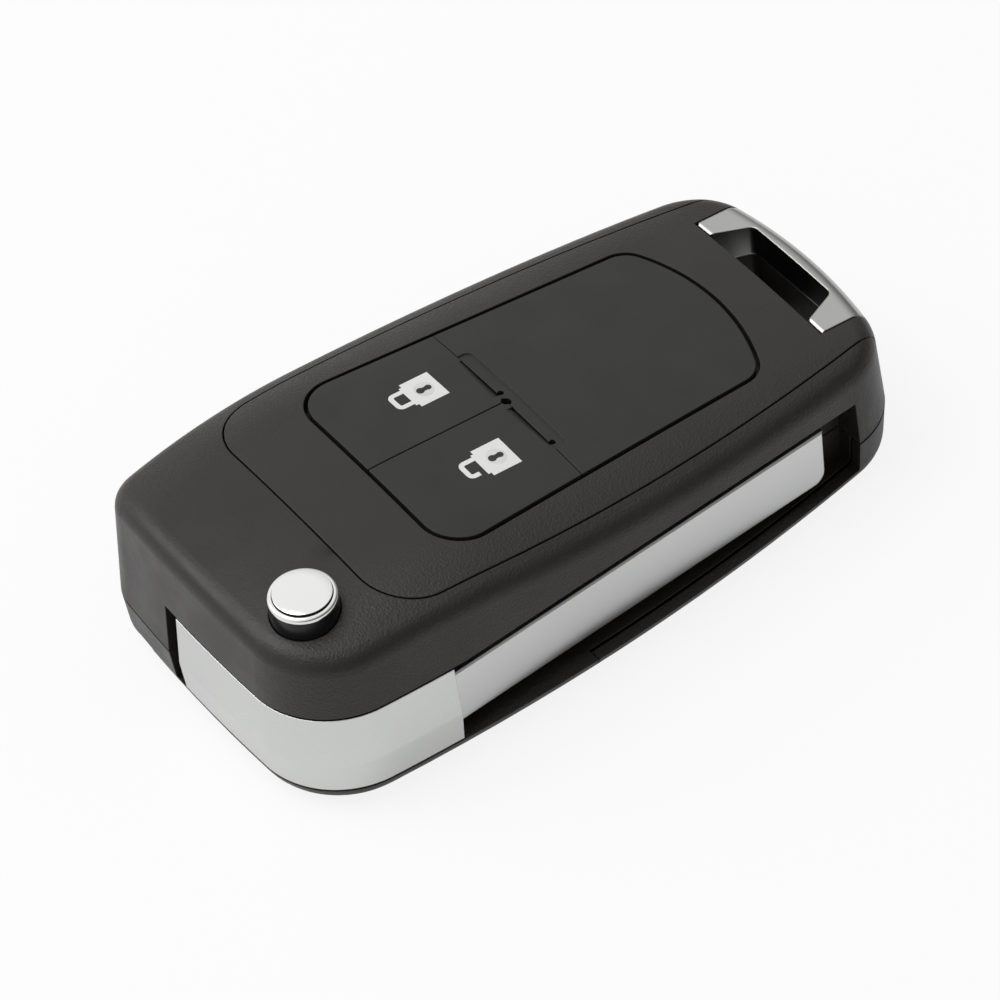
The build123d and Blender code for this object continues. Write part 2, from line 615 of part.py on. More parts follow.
def make_release_shaft():
    core_radius = RELEASE_RADIUS - RELEASE_CAP_WALL - SEAT
    core_top = RELEASE_TOP_Z - RELEASE_CAP_WALL - SEAT
    shaft = rod(PIVOT_X, PIVOT_Y, core_radius, RELEASE_FLANGE_TOP_Z, core_top)
    shaft += rod(PIVOT_X, PIVOT_Y, RELEASE_FLANGE_RADIUS,
                 RELEASE_FLANGE_TOP_Z - RELEASE_FLANGE_THICK, RELEASE_FLANGE_TOP_Z)
    shaft += rod(PIVOT_X, PIVOT_Y, RELEASE_SHAFT_RADIUS,
                 TRIM_TOP_Z - RELEASE_SHAFT_IN_HUB, RELEASE_FLANGE_TOP_Z)
    return biggest(shaft)


def make_flip_spring():
    bottom = TRIM_BOTTOM_Z + HUB_FLOOR + SPRING_WIRE_RADIUS + SEAT
    top = TRIM_TOP_Z - RELEASE_SHAFT_IN_HUB - SPRING_WIRE_RADIUS - SEAT
    height = top - bottom
    coil = Helix(height / SPRING_TURNS, height, SPRING_RADIUS)
    start = coil @ 0
    wire = Plane(origin=start, z_dir=coil % 0) * Circle(SPRING_WIRE_RADIUS)
    spring = sweep(wire, path=coil)
    return Pos(PIVOT_X, PIVOT_Y, bottom) * spring


# Lower shell and battery cover
def make_rear_case():
    below = slab(-1, PARTING_Z - SEAT)
    shell = (OUTER - INNER) & below
    bay_block = bay_wall(0, PARTING_Z - SEAT, PARTING_Z - SEAT) & INNER
    ring_block = slab(0, PARTING_Z - SEAT, RING_SLOT_X - RING_WALL) & INNER
    tongue = INNER_FIT - envelope(WALL + TONGUE_THICK)
    tongue &= slab(PARTING_Z - 1, PARTING_Z + TONGUE_HEIGHT,
                   x_to=RING_SLOT_X - RING_WALL - FREE)
    tongue -= bay_wall(0, HIGH, HIGH)
    case = shell + bay_block + ring_block + tongue
    case -= mechanism_room()
    case += rod(PIVOT_X, PIVOT_Y, HUB_STUB_RADIUS, WALL - 1, SLOT_FLOOR_Z + HUB_STUB_HEIGHT)
    case += transponder_block(POCKET_RIB, WALL - 1, TRANSPONDER_THICK) - transponder_block(
        SLIP, WALL, TRANSPONDER_THICK)
    cover_room = OUTER - envelope(COVER_THICK + FREE)
    cover_room &= slab(-1, PARTING_Z, COVER_X - SEAM)
    case -= cover_room
    case -= rod(BATTERY_X, BATTERY_Y, BATTERY_RADIUS + FREE * 2, -1, PARTING_Z)
    case -= RING_SLOT
    return biggest(case)


def make_battery_cover():
    skin = (OUTER - envelope(COVER_THICK)) & slab(-1, PARTING_Z - SEAM, COVER_X)
    skin -= mechanism_room()
    skin -= RING_SLOT
    rib = rod(BATTERY_X, BATTERY_Y, BATTERY_RADIUS * 0.75, COVER_THICK / 2,
              BATTERY_BOTTOM_Z - SEAT)
    rib -= rod(BATTERY_X, BATTERY_Y, BATTERY_RADIUS * 0.75 - CHANNEL_WALL, 0, HIGH)
    return biggest(skin + rib)


# Electronics and what holds them
def bay_outline(clear):
    """Room for the electronics, seen from above, shrunk by clear."""
    room = column(case_outline(WALL + clear), 0, 1)
    room -= bay_wall(0, 1, 1, clear)
    room &= slab(0, 1, x_to=RING_SLOT_X - RING_WALL - clear)
    return room


def bay_plate(bottom, top, clear, x_from, x_to=RING_SLOT_X):
    plate = bay_outline(clear) & slab(0, 1, x_from, x_to)
    profile = biggest(plate).faces().sort_by(Axis.Z)[-1]
    return Pos(0, 0, bottom - 1) * extrude(profile, top - bottom)


def make_circuit_board():
    board = bay_plate(BOARD_BOTTOM_Z, BOARD_TOP_Z, BOARD_CLEAR, BOARD_PIVOT_X, BOARD_RING_X)
    return biggest(board)


def make_board_frame():
    """Tray that carries the board and wraps the battery."""
    floor_z = BATTERY_TOP_Z + CONTACT_THICK + SEAT * 2
    plate_top = BOARD_BOTTOM_Z - SEAT
    outer = bay_plate(PARTING_Z + TONGUE_HEIGHT + SEAT, plate_top, BOARD_CLEAR,
                      BOARD_PIVOT_X)
    hollow = bay_plate(0, floor_z, BOARD_CLEAR + FRAME_WALL, BOARD_PIVOT_X + FRAME_WALL,
                       RING_SLOT_X - RING_WALL - FREE - FRAME_WALL)
    well = rod(BATTERY_X, BATTERY_Y, BATTERY_RADIUS + FREE / 2 + FRAME_WALL,
               BATTERY_BOTTOM_Z - 0.6, plate_top)
    frame = (outer - hollow) + well
    frame -= rod(BATTERY_X, BATTERY_Y, BATTERY_RADIUS + FREE / 2, 0, floor_z)
    frame -= rod(BATTERY_X, BATTERY_Y, CONTACT_HOLE_RADIUS, 0, HIGH)
    frame -= positive_strip(SLIP)
    return biggest(frame)


def make_battery():
    can = rod(BATTERY_X, BATTERY_Y, BATTERY_RADIUS, BATTERY_BOTTOM_Z,
              BATTERY_TOP_Z - BATTERY_STEP)
    can = fillet(can.edges().sort_by(Axis.Z)[0], BATTERY_STEP)
    lid = rod(BATTERY_X, BATTERY_Y, BATTERY_RADIUS - 1.2, BATTERY_TOP_Z - BATTERY_STEP,
              BATTERY_TOP_Z)
    return biggest(can + lid)


def make_negative_contact():
    """Sprung star that touches the battery's lid and is soldered to the board."""
    disc = rod(BATTERY_X, BATTERY_Y, CONTACT_HOLE_RADIUS - SLIP,
               BOARD_BOTTOM_Z - SEAT - CONTACT_THICK, BOARD_BOTTOM_Z - SEAT)
    leg = slab(BATTERY_TOP_Z + SEAT, BOARD_BOTTOM_Z - SEAT, 0, CONTACT_THICK,
               -CONTACT_WIDTH / 2, CONTACT_WIDTH / 2)
    foot = slab(BATTERY_TOP_Z + SEAT, BATTERY_TOP_Z + SEAT + CONTACT_THICK, 0, CONTACT_WIDTH,
                -CONTACT_WIDTH / 2, CONTACT_WIDTH / 2)
    star = disc
    for angle in (0, 120, 240):
        finger = Rot(0, 0, angle) * (Pos(1.2, 0, 0) * (leg + foot))
        star += Pos(BATTERY_X, BATTERY_Y, 0) * finger
    return biggest(star)


def positive_strip(grow):
    """Strip beside the battery's can, folded out under the board."""
    inner = BATTERY_RADIUS + SEAT - grow
    half = CONTACT_WIDTH / 2 + grow
    top = BOARD_BOTTOM_Z - SEAT + grow
    leg = slab(BATTERY_BOTTOM_Z - grow, top, -half, half, inner,
               inner + CONTACT_THICK + 2 * grow)
    foot = slab(top - CONTACT_THICK - 2 * grow, top, -half, half, inner,
                inner + CONTACT_WIDTH + 2 * grow)
    return Pos(BATTERY_X, BATTERY_Y, 0) * (leg + foot)


def make_positive_contact():
    return biggest(positive_strip(0.0))


def switch_body(side):
    body = slab(BOARD_TOP_Z, BOARD_TOP_Z + SWITCH_HEIGHT, POST_X - SWITCH_SIZE / 2,
                POST_X + SWITCH_SIZE / 2, side * POST_Y - SWITCH_SIZE / 2,
                side * POST_Y + SWITCH_SIZE / 2)
    body = chamfer(body.edges().filter_by(Axis.Z), 0.5)
    well = rod(POST_X, side * POST_Y, PLUNGER_RADIUS + SLIP,
               BOARD_TOP_Z + SWITCH_HEIGHT - PLUNGER_WELL, HIGH)
    return biggest(body - well)


def switch_plunger(side):
    bottom = BOARD_TOP_Z + SWITCH_HEIGHT - PLUNGER_WELL + BUTTON_TRAVEL + SLIP
    return biggest(rod(POST_X, side * POST_Y, PLUNGER_RADIUS, bottom,
                       BOARD_TOP_Z + SWITCH_HEIGHT + PLUNGER_HEIGHT))


def make_controller_chip():
    """Square chip with a row of legs on each side."""
    body = slab(BOARD_TOP_Z + CHIP_LIFT, BOARD_TOP_Z + CHIP_LIFT + CHIP_THICK,
                CHIP_X - CHIP_SIZE / 2, CHIP_X + CHIP_SIZE / 2,
                CHIP_Y - CHIP_SIZE / 2, CHIP_Y + CHIP_SIZE / 2)
    leg = slab(BOARD_TOP_Z, BOARD_TOP_Z + CHIP_LIFT + 0.2, -0.15, 0.15,
               0, CHIP_SIZE / 2 + CHIP_LEG)
    for turn in range(4):
        for place in range(CHIP_LEGS):
            offset_x = (place - (CHIP_LEGS - 1) / 2) * CHIP_PITCH
            body += Pos(CHIP_X, CHIP_Y, 0) * (Rot(0, 0, 90 * turn) * (Pos(offset_x, 0, 0) * leg))
    return biggest(body)


def make_crystal():
    can = slab(BOARD_TOP_Z, BOARD_TOP_Z + CRYSTAL_HEIGHT, CRYSTAL_X - CRYSTAL_LENGTH / 2,
               CRYSTAL_X + CRYSTAL_LENGTH / 2, CRYSTAL_Y - CRYSTAL_WIDTH / 2,
               CRYSTAL_Y + CRYSTAL_WIDTH / 2)
    can = fillet(can.edges().filter_by(Axis.Z), CRYSTAL_WIDTH / 2 - 0.1)
    return biggest(fillet(can.edges().group_by(Axis.Z)[-1], 0.4))


def make_antenna_coil():
    """Flanged bobbin with its winding, on the board."""
    half = COIL_LENGTH / 2
    bobbin = slab(BOARD_TOP_Z, BOARD_TOP_Z + COIL_SIZE, COIL_X - COIL_SIZE / 2,
                  COIL_X + COIL_SIZE / 2, COIL_Y - half, COIL_Y - half + COIL_FLANGE)
    bobbin += Pos(0, COIL_LENGTH - COIL_FLANGE, 0) * bobbin
    winding = Pos(COIL_X, COIL_Y, BOARD_TOP_Z + COIL_SIZE / 2) * (
        Rot(90, 0, 0) * Cylinder(COIL_SIZE / 2 - 0.4, COIL_LENGTH - COIL_FLANGE))
    return biggest(bobbin + winding)


def transponder_block(grow, bottom, height):
    half_length, half_width = TRANSPONDER_LENGTH / 2 + grow, TRANSPONDER_WIDTH / 2 + grow
    block = slab(bottom, bottom + height, TRANSPONDER_X - half_length,
                 TRANSPONDER_X + half_length, TRANSPONDER_Y - half_width,
                 TRANSPONDER_Y + half_width)
    return fillet(block.edges().filter_by(Axis.Z), 1.0 + grow)


def make_transponder():
    return biggest(transponder_block(0.0, WALL + SEAT, TRANSPONDER_THICK))


PIECES = {
    "upper_case": make_upper_case,
    "button_panel": make_button_panel,
    "blank_field": make_blank_field,
    "lock_button": lambda: make_button(1),
    "unlock_button": lambda: make_button(-1),
    "key_ring_bar": make_key_ring_bar,
    "hub_trim": make_hub_trim,
    "blade_hub": make_blade_hub,
    "key_blade": make_key_blade,
    "blade_pin": make_blade_pin,
    "release_button": make_release_button,
    "release_shaft": make_release_shaft,
    "flip_spring": make_flip_spring,
    "rear_case": make_rear_case,
    "battery_cover": make_battery_cover,
    "board_frame": make_board_frame,
    "circuit_board": make_circuit_board,
    "battery": make_battery,
    "negative_contact": make_negative_contact,
    "positive_contact": make_positive_contact,
    "lock_switch": lambda: switch_body(1),
    "unlock_switch": lambda: switch_body(-1),
    "lock_plunger": lambda: switch_plunger(1),
    "unlock_plunger": lambda: switch_plunger(-1),
    "controller_chip": make_controller_chip,
    "crystal": make_crystal,
    "antenna_coil": make_antenna_coil,
    "transponder": make_transponder,
}

if __name__ == "__main__":
    os.makedirs("parts", exist_ok=True)
    for name, make in PIECES.items():
        export_step(make(), f"parts/{name}.step")
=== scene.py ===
"""Looks for the flip key remote: finishes, printed padlocks, studio stage and camera.

Sizes are in metres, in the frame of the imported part: +X towards the key ring end, -Y the
side that the blade folds into, +Z the way the buttons face.
"""
import math

import bmesh
import bpy
from bpy.props import FloatProperty, FloatVectorProperty, IntProperty, PointerProperty
from mathutils import Matrix, Vector
from mathutils.bvhtree import BVHTree


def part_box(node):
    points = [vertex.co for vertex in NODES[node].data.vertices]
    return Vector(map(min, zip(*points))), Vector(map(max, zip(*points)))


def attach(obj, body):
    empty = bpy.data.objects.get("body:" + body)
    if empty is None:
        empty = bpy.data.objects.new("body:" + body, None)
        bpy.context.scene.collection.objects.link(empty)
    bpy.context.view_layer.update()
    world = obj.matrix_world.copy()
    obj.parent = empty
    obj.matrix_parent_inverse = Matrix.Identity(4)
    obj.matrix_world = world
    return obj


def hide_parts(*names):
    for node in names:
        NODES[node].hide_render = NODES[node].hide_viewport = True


bl_info = {
    "name": "Flip Key Remote",
    "version": (1, 0, 0),
    "blender": (4, 5, 0),
    "location": "View3D > Sidebar > Flip Key",
    "description": "Dresses the packed flip key remote and sets it on a studio stage",
    "category": "Object",
}

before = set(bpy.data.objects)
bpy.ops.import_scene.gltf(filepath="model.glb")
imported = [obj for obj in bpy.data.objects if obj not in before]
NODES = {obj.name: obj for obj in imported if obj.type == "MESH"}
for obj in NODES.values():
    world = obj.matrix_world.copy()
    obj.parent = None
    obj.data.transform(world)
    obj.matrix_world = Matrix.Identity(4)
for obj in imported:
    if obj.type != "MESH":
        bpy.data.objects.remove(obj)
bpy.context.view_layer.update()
MM = 0.001

# Shading
GRAIN_SCALE = 3600              # grain cells to a metre, on the shells and the panel
GRAIN_DEPTH = 0.068 * MM
GRAIN_ROUGHNESS = 0.35
GRAIN_FINE = 3.1                # finer noise over the grain, as a multiple of its scale
GRAIN_BLEND = 0.35              # how softly the cells run together
GRAIN_LEAST = 0.3               # share of the grain's depth along the flat middle
DARK_PLASTIC_GLOSS = 0.42
PLASTIC_IOR = 1.47
GRAIN_STRENGTH = 0.6
# Shallow grain up to the first and full grain from the second, as shares of flat_half
MIDDLE_FROM, MIDDLE_TO = 0.7, 1.2
# The seam line starts at the first and is full from the second, as shares of seam_line
SEAM_OUTER, SEAM_INNER = 1.3, 0.7
SEAM_DEPTH = -4.0               # height of the seam line, against the grain's own height
NOISE_LOW, NOISE_HIGH = 0.3, 0.7    # where most of a noise's values lie
# Plastic: patches of colour and of roughness to a metre, and how far the roughness wanders
TINT_SCALE, SHEEN_SCALE = 90, 220
SHEEN_LESS, SHEEN_MORE = 0.04, 0.05
# Plating: the same, with the roughness as a share, and its fine surface lines or specks
CLOUD_SCALE, CLOUD_SPREAD = 60, 0.02
POLISH_SCALE, POLISH_LOW, POLISH_HIGH = 110, 0.93, 1.08
PLATING_SCALE, BRUSH_SCALE = 900, 5000
PLATING_DEPTH, PLATING_STRENGTH = 0.002 * MM, 0.15
BRUSH_STRETCH = 0.02            # scale along the brush lines
WIRE_METALLIC = 0.8
CONTACT_COLOUR = (0.72, 0.62, 0.38)

# Prints
INK_GRAIN, INK_GRAIN_DEPTH = 5000, 0.004 * MM
INK_LAYER = 0.4                 # rise from one ink layer to the next, in print heights
INK_SUNK = 2.5                  # how far the ink reaches down, in its own heights
KEYHOLE_WAIST = 0.78            # half of a keyhole's waist, as a share of its small end
BOW_CORNER = 1.3                # corner of a shackle, as a multiple of its band
HOOK_REACH = 0.42               # gap of the open shackle, as a share of its reach
PRINT_RAY_FROM = 1.0            # height from which print is dropped onto its button

# Release button's disc, outwards from its edge and down from its top
RIM_GAP = 0.05 * MM
RIM_FOOT = 0.03 * MM
DISC_FOOT = -0.02 * MM
DISC_SHOULDER = -0.04 * MM
DISC_FLAT = -0.10 * MM
DISC_SHOULDER_DROP = 0.04 * MM
DISC_FLAT_DROP = 0.005 * MM
RIM_ROUND = 0.42 * MM
CAP_LIP = 0.55 * MM             # straight side below the rim's round
CAP_WALL = 0.6 * MM             # width of the cap's open underside
# Painted shade: faces whose middles lie between these radii, round the disc's edge, take the
# near-black second material in place of the groove's shade.
GROOVE_SHADE_FROM, GROOVE_SHADE_TO = -0.05 * MM, 0.04 * MM  # dark step round the disc's edge
MERGE_WITHIN = 1e-7
SMOOTH_ANGLE = math.radians(32)

# Stage
KEY_LAMP_PLACE, KEY_LAMP_SIZE = (-0.25, 0.15, 0.75), 0.55
SIDE_LAMP_PLACE, SIDE_LAMP_SIZE = (-0.50, 0.48, 0.45), 0.45
WALL_DARK_TO, WALL_BRIGHT_FROM = -0.15, 0.70    # cosine of the angle from the bright side
FLOOR_GLOW = 0.86               # share of plain white in the floor as the camera sees it
FLOOR_MIRROR_GLOW = 0.30        # the same in reflections
SENSOR_WIDTH = 36.0


# Properties
def colour(name, words, default):
    return FloatVectorProperty(name=name, description=words, subtype="COLOR", size=4,
                               min=0.0, max=1.0, default=(*default, 1.0))


def length(name, words, default):
    return FloatProperty(name=name, description=words, default=default, unit="LENGTH",
                         subtype="DISTANCE", precision=6)


class FlipKeyFinishes(bpy.types.PropertyGroup):
    case: colour("Case", "Grained plastic of the shells", (0.0166, 0.0136, 0.0122))
    panel: colour("Panel", "Grained plastic of the panel", (0.0182, 0.0152, 0.0138))
    buttons: colour("Buttons", "Smooth plastic of the buttons", (0.0175, 0.0172, 0.0160))
    print: colour("Print", "Silvery ink of the padlocks", (0.82, 0.82, 0.81))
    print_shade: colour("Print shade", "Ink round the keyholes", (0.70, 0.70, 0.69))
    keyhole: colour("Keyhole", "Dark ink of the keyholes", (0.020, 0.020, 0.020))
    collar: colour("Collar", "Satin plating of the corner collar", (0.65, 0.66, 0.65))
    blade: colour("Blade", "Satin nickel of the blade", (0.69, 0.70, 0.69))
    bright: colour("Bright", "Polished plating of the button", (0.82, 0.82, 0.81))
    bar: colour("Bar", "Plating of the ring bar", (0.43, 0.43, 0.42))
    # Painted reflection and shade: near black on the release button's sides, standing in for
    # the dark case that they reflect, and in the groove round its disc.
    painted_reflection_and_shade: colour("Skirt", "Dark sides of the release button", (0.006, 0.006, 0.006))
    inner: colour("Inner", "Plastic of the inner pieces", (0.022, 0.022, 0.023))
    board: colour("Board", "Solder resist", (0.015, 0.10, 0.045))
    copper: colour("Copper", "Enamelled wire", (0.45, 0.16, 0.06))
    floor: colour("Floor", "Studio floor", (0.92, 0.92, 0.92))


class FlipKeySizes(bpy.types.PropertyGroup):
    print_height: length("Print height", "Ink above the button", 0.018 * MM)
    lock_body: FloatVectorProperty(
        name="Padlock body", description="Length and width of a padlock's body", size=2,
        unit="LENGTH", default=(3.5 * MM, 4.1 * MM))
    lock_x: length("Padlock place", "Middle of the padlock bodies along the case", -5.65 * MM)
    lock_y: length("Closed padlock", "Middle of the closed padlock across the case", 6.5 * MM)
    unlock_y: length("Open padlock", "Middle of the open padlock across the case", -6.0 * MM)
    body_shoulder: length("Body shoulder", "Step of the body beside the shackle", 0.35 * MM)
    shackle_reach: length("Shackle reach", "Open shackle beyond the body", 2.35 * MM)
    shackle_shut: length("Shackle shut", "Shut shackle sunk by this", 0.15 * MM)
    shackle_width: length("Shackle width", "Outside width of a shackle", 2.6 * MM)
    shackle_band: length("Shackle band", "Width of the shackle's line", 0.56 * MM)
    keyhole_radius: length("Keyhole radius", "Large end of a keyhole", 0.45 * MM)
    keyhole_small: length("Keyhole small end", "Small end of a keyhole", 0.38 * MM)
    keyhole_apart: length("Keyhole ends apart", "From end to end of a keyhole", 0.95 * MM)
    shade_radius: length("Shade radius", "Shaded disc round a keyhole", 1.12 * MM)
    flat_half: length("Flat half", "Half of the middle strip with shallow grain", 12.5 * MM)
    edge_round: length("Edge round", "Softened edge of moulded pieces", 0.16 * MM)
    seam_line: length("Seam line", "Half of the dark line where the shells meet", 0.14 * MM)
    rim_width: length("Rim width", "Bright rim round the release button's disc", 0.52 * MM)
    rim_drop: length("Rim drop", "Rim below the release button's disc", 0.30 * MM)
    rim_groove: length("Rim groove", "Depth of the groove inside the rim", 0.06 * MM)
    # The painted dark reflection on the release button's sides starts this far below the top
    # of the rim.
    painted_reflection_top: length("Skirt top", "Dark skirt below the top of the rim", 0.50 * MM)
    bar_round: length("Bar round", "Rounded edges of the ring bar", 0.30 * MM)
    collar_round: length("Collar round", "Rounded edges of the corner collar", 0.14 * MM)
    turns: IntProperty(name="Steps round", description="Steps of a full turn", default=128,
                       min=24, max=256)


class FlipKeyStage(bpy.types.PropertyGroup):
    azimuth: FloatProperty(name="Azimuth", description="Camera round the key",
                           subtype="ANGLE", default=math.radians(-31.191))
    elevation: FloatProperty(name="Elevation", description="Camera above the floor",
                             subtype="ANGLE", default=math.radians(47.216))
    roll: FloatProperty(name="Roll", description="Camera turned about its own line of sight",
                        subtype="ANGLE", default=math.radians(-7.127))
    place: FloatVectorProperty(name="Camera place", description="Camera position", size=3,
                               unit="LENGTH", subtype="XYZ",
                               default=(-0.221746, -0.362629, 0.466031))
    lens: FloatProperty(name="Lens", description="Focal length in millimetres",
                        default=216.118)
    key_power: FloatProperty(name="Key lamp", description="Power of the large lamp overhead",
                             default=2.6, unit="POWER")
    side_power: FloatProperty(name="Side lamp", description="Power of the lamp at the side",
                              default=1.2, unit="POWER")
    ambient: FloatProperty(name="Ambient", description="Even light from all round",
                           default=0.45, min=0.0, max=1.0)
    bright_side: FloatVectorProperty(
        name="Bright side", description="Where the studio walls are brightest", size=3,
        subtype="DIRECTION", default=(-0.35, 0.45, 0.82))
    wall_low: FloatProperty(name="Dim wall", description="The studio's walls at their dimmest",
                            default=0.15, min=0.0, max=1.0)
    floor_size: length("Floor size", "Side of the square floor", 4.0)


# Node trees
def new_material(name):
    material = bpy.data.materials.new(name)
    material.use_nodes = True
    shader = material.node_tree.nodes["Principled BSDF"]
    place = material.node_tree.nodes.new("ShaderNodeTexCoord")
    return material, shader, place.outputs["Object"]


def add(material, kind, **values):
    """Add a node; values set its properties or, where it has none of that name, its inputs."""
    node = material.node_tree.nodes.new(kind)
    for key, value in values.items():
        if hasattr(node, key):
            setattr(node, key, value)
        else:
            node.inputs[key.replace("_", " ").title()].default_value = value
    return node


def join(material, source, target):
    material.node_tree.links.new(source, target)


def grain_height(material, place, scale, fine):
    """Moulded grain: small rounded cells over a finer noise."""
    cells = add(material, "ShaderNodeTexVoronoi", feature="SMOOTH_F1", Scale=scale)
    cells.inputs["Smoothness"].default_value = GRAIN_BLEND
    noise = add(material, "ShaderNodeTexNoise", Scale=fine, Detail=3.0)
    total = add(material, "ShaderNodeMath", operation="ADD")
    join(material, place, cells.inputs["Vector"])
    join(material, place, noise.inputs["Vector"])
    join(material, cells.outputs["Distance"], total.inputs[0])
    join(material, noise.outputs["Fac"], total.inputs[1])
    return total.outputs[0]


def vary(material, place, scale, low, high, detail=4.0):
    """A value that wanders slowly between two limits over the surface."""
    noise = add(material, "ShaderNodeTexNoise", Scale=scale, Detail=detail)
    spread = add(material, "ShaderNodeMapRange", interpolation_type="SMOOTHSTEP")
    spread.inputs["From Min"].default_value = NOISE_LOW
    spread.inputs["From Max"].default_value = NOISE_HIGH
    spread.inputs["To Min"].default_value = low
    spread.inputs["To Max"].default_value = high
    join(material, place, noise.inputs["Vector"])
    join(material, noise.outputs["Fac"], spread.inputs["Value"])
    return spread.outputs["Result"]


def tint(material, place, colour_value, scale, spread, detail=5.0):
    """Colour that varies slightly over the surface."""
    noise = add(material, "ShaderNodeTexNoise", Scale=scale, Detail=detail)
    ramp = add(material, "ShaderNodeValToRGB")
    base = Vector(colour_value[:3])
    ramp.color_ramp.interpolation = "EASE"
    ramp.color_ramp.elements[0].position = NOISE_LOW
    ramp.color_ramp.elements[1].position = NOISE_HIGH
    ramp.color_ramp.elements[0].color = (*(base * (1 - spread)), 1)
    ramp.color_ramp.elements[1].color = (*(base * (1 + spread)), 1)
    join(material, place, noise.inputs["Vector"])
    join(material, noise.outputs["Fac"], ramp.inputs["Fac"])
    return ramp.outputs["Color"]


def rounded_bump(material, shader, height, depth, strength, edge):
    """Bump over edges that are softened by their own small radius."""
    bump = add(material, "ShaderNodeBump", Strength=strength, Distance=depth)
    join(material, height, bump.inputs["Height"])
    if edge:
        soft = add(material, "ShaderNodeBevel", samples=6, Radius=edge)
        join(material, soft.outputs["Normal"], bump.inputs["Normal"])
    join(material, bump.outputs["Normal"], shader.inputs["Normal"])


def moulded(name, colour_value, roughness, grain, depth, edge=0.0, spread=0.06, gloss=0.5,
            seam=0.0, flat_half=0.0):
    """Moulded plastic or ink; seam darkens the line where the shells meet, and flat_half is
    half the width of a middle strip where the grain is shallower."""
    material, shader, place = new_material(name)
    shader.inputs["Specular IOR Level"].default_value = gloss
    shader.inputs["IOR"].default_value = PLASTIC_IOR
    colour_out = tint(material, place, colour_value, TINT_SCALE, spread)
    rough_out = vary(material, place, SHEEN_SCALE, roughness - SHEEN_LESS,
                     roughness + SHEEN_MORE)
    height_out = grain_height(material, place, grain, grain * GRAIN_FINE)
    if flat_half:
        height_out = shallow_middle(material, place, height_out, flat_half)
    if seam:
        line = parting_line(material, place, seam)
        colour_out = fade(material, line, colour_out, (0.0, 0.0, 0.0, 1.0), "RGBA")
        rough_out = fade(material, line, rough_out, 1.0, "FLOAT")
        height_out = fade(material, line, height_out, SEAM_DEPTH, "FLOAT")
    join(material, colour_out, shader.inputs["Base Color"])
    join(material, rough_out, shader.inputs["Roughness"])
    rounded_bump(material, shader, height_out, depth, GRAIN_STRENGTH, edge)
    return material


def shallow_middle(material, place, height, half):
    """Grain height that drops to a share of itself along the middle of the top."""
    across = add(material, "ShaderNodeSeparateXYZ")
    apart = add(material, "ShaderNodeMath", operation="ABSOLUTE")
    share = add(material, "ShaderNodeMapRange", interpolation_type="SMOOTHSTEP")
    share.inputs["From Min"].default_value = half * MIDDLE_FROM
    share.inputs["From Max"].default_value = half * MIDDLE_TO
    share.inputs["To Min"].default_value = GRAIN_LEAST
    share.inputs["To Max"].default_value = 1.0
    total = add(material, "ShaderNodeMath", operation="MULTIPLY")
    join(material, place, across.inputs[0])
    join(material, across.outputs["Y"], apart.inputs[0])
    join(material, apart.outputs[0], share.inputs["Value"])
    join(material, height, total.inputs[0])
    join(material, share.outputs["Result"], total.inputs[1])
    return total.outputs[0]


def fade(material, share, source, target, kind):
    """Pass from a node's output to a fixed value by a share that varies."""
    mix = add(material, "ShaderNodeMix", data_type=kind)
    sockets = [s for s in mix.inputs if s.enabled]
    join(material, share, sockets[0])
    join(material, source, sockets[1])
    sockets[2].default_value = target
    return next(s for s in mix.outputs if s.enabled)


def parting_line(material, place, half):
    """1 on a thin line at the height where the two shells meet, and 0 elsewhere."""
    height = add(material, "ShaderNodeSeparateXYZ")
    above = add(material, "ShaderNodeMath", operation="SUBTRACT")
    above.inputs[1].default_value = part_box("upper_case")[0].z
    apart = add(material, "ShaderNodeMath", operation="ABSOLUTE")
    line = add(material, "ShaderNodeMapRange", interpolation_type="SMOOTHSTEP")
    line.inputs["From Min"].default_value = half * SEAM_OUTER
    line.inputs["From Max"].default_value = half * SEAM_INNER
    join(material, place, height.inputs[0])
    join(material, height.outputs["Z"], above.inputs[0])
    join(material, above.outputs[0], apart.inputs[0])
    join(material, apart.outputs[0], line.inputs["Value"])
    return line.outputs["Result"]


def plated(name, colour_value, roughness, edge=0.0, brush=0.0):
    """Metal or plating: faint clouding, and fine brush lines along X if asked for."""
    material, shader, place = new_material(name)
    join(material, tint(material, place, colour_value, CLOUD_SCALE, CLOUD_SPREAD, 1.0),
         shader.inputs["Base Color"])
    shader.inputs["Metallic"].default_value = 1.0
    join(material, vary(material, place, POLISH_SCALE, roughness * POLISH_LOW,
                        roughness * POLISH_HIGH, 0.0), shader.inputs["Roughness"])
    stretch = add(material, "ShaderNodeMapping")
    stretch.inputs["Scale"].default_value = (BRUSH_STRETCH if brush else 1.0, 1.0, 1.0)
    lines = add(material, "ShaderNodeTexNoise", Detail=1.0,
                Scale=BRUSH_SCALE if brush else PLATING_SCALE)
    join(material, place, stretch.inputs["Vector"])
    join(material, stretch.outputs["Vector"], lines.inputs["Vector"])
    rounded_bump(material, shader, lines.outputs["Fac"], PLATING_DEPTH,
                 PLATING_STRENGTH + brush, edge)
    return material


# Meshes
def finish_piece(mesh, name, material, body, smooth_angle=None):
    """Turn a bmesh into an object at the origin that rides on a body."""
    bmesh.ops.recalc_face_normals(mesh, faces=mesh.faces)
    data = bpy.data.meshes.new(name)
    mesh.to_mesh(data)
    mesh.free()
    piece = bpy.data.objects.new(name, data)
    bpy.context.scene.collection.objects.link(piece)
    data.materials.append(material)
    if smooth_angle is not None:
        data.shade_smooth()
        data.set_sharp_from_angle(angle=smooth_angle)
    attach(piece, body)
    return piece


def paint(node, material):
    """Give a CAD node its finish."""
    slots = NODES[node].data.materials
    slots.clear()
    slots.append(material)


